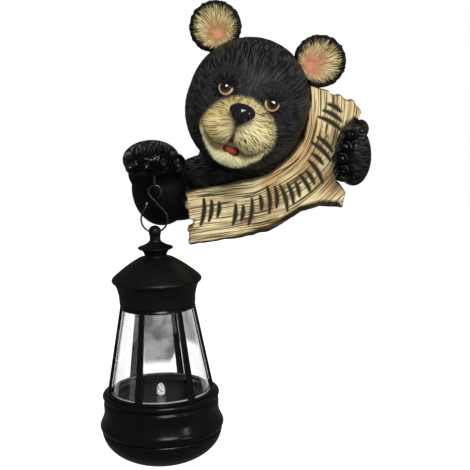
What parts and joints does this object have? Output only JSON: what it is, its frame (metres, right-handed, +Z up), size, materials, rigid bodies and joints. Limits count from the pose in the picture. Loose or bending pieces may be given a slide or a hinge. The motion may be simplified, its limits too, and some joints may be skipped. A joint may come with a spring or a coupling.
{
  "type": "hanging bear figure with lantern",
  "caption": "Wall-hung cast bear head and paws over a bent rustic board, with a lantern hung from one paw on an S-hook.",
  "frame": {"origin": "on the flat back, behind the middle of the head", "axes": "+Z up, +X to the viewer's right, the front faces -Y, so +Y points into the wall"},
  "size_m": [0.1862, 0.1003, 0.3073],
  "materials": {
    "painted_resin": "painted cast resin, satin black fur, cream face and tan wood",
    "wire": "dark bright wire",
    "lantern_plastic": "satin black moulded plastic",
    "clear_plastic": "clear moulded plastic",
    "lamp": "clear cut lens"
  },
  "bodies": {
    "root": {"bear_casting": "painted_resin", "paw_eye": "wire", "s_hook": "wire", "lantern_roof": "lantern_plastic", "lantern_cage": "lantern_plastic", "lantern_chimney": "clear_plastic", "lantern_base": "lantern_plastic", "lantern_bowl": "lantern_plastic", "led": "lamp"}
  },
  "joints": []
}
